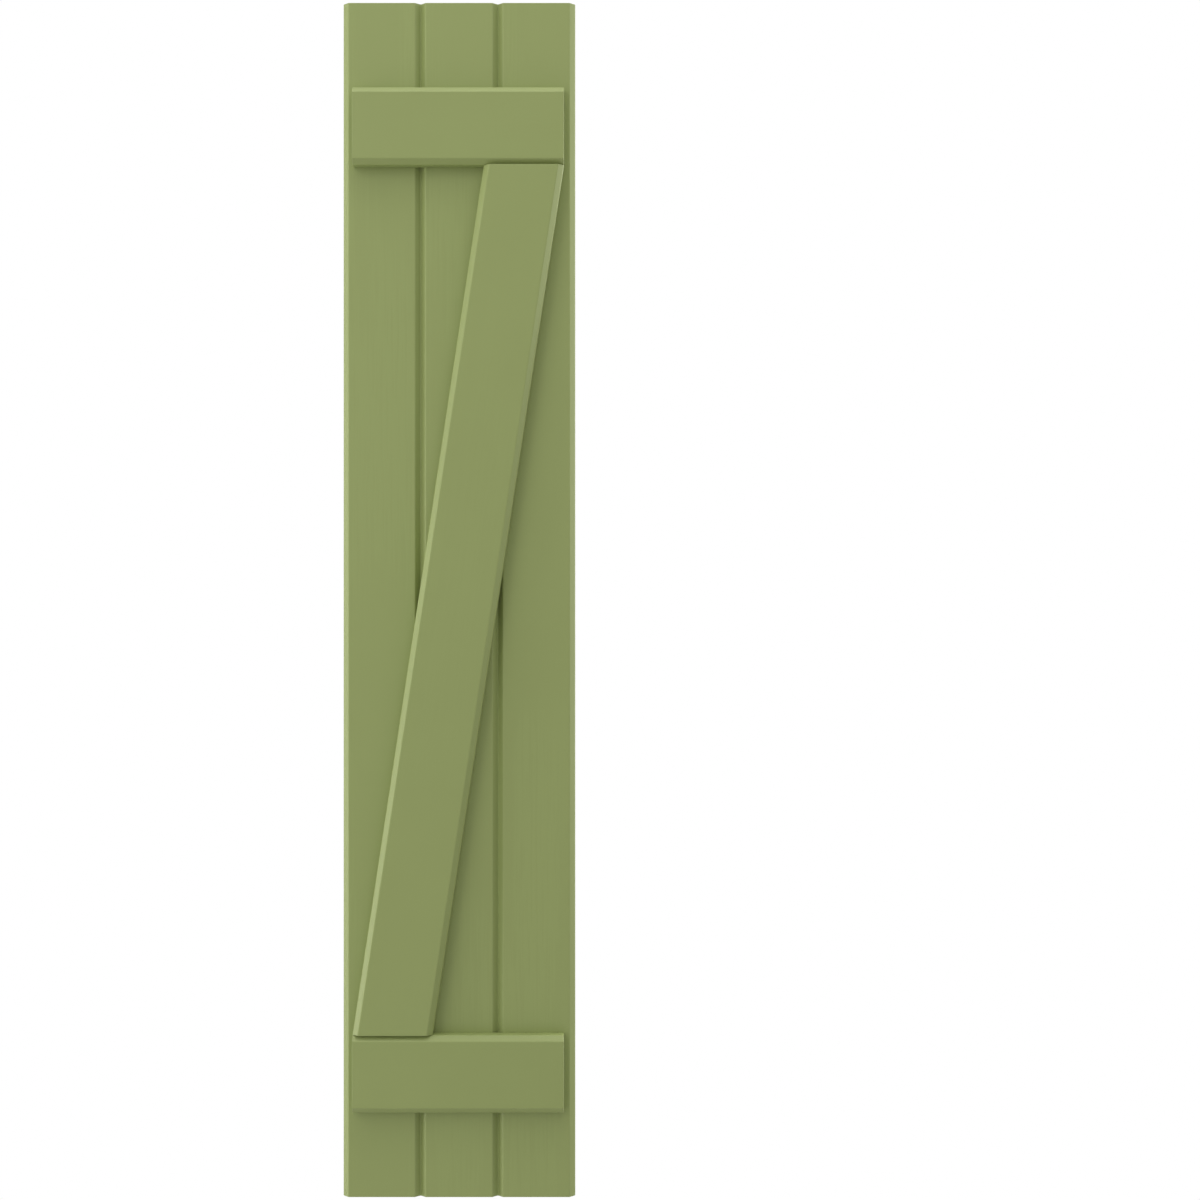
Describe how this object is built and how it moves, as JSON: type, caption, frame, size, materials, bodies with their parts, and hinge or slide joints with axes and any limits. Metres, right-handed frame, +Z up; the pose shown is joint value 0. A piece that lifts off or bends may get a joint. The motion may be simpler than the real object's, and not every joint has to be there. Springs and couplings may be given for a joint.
{
  "type": "board and batten shutter",
  "caption": "Board and batten window shutter: upright V-jointed boards held by bevelled cross battens and a slanting brace, painted sage green, fixed flat to a wall beside a window.",
  "frame": {"origin": "middle of the flat back, on the plane that lies against the wall", "axes": "+X to the right seen from the front, the front faces -Y, +Z up along the boards"},
  "size_m": [0.2666, 0.0381, 1.3716],
  "materials": {
    "sage_paint": "satin exterior paint over smooth-planed softwood, a trace of grain on the boards"
  },
  "bodies": {
    "root": {"left_board": "sage_paint", "middle_board": "sage_paint", "right_board": "sage_paint", "top_batten": "sage_paint", "bottom_batten": "sage_paint", "diagonal_brace": "sage_paint"}
  },
  "joints": []
}
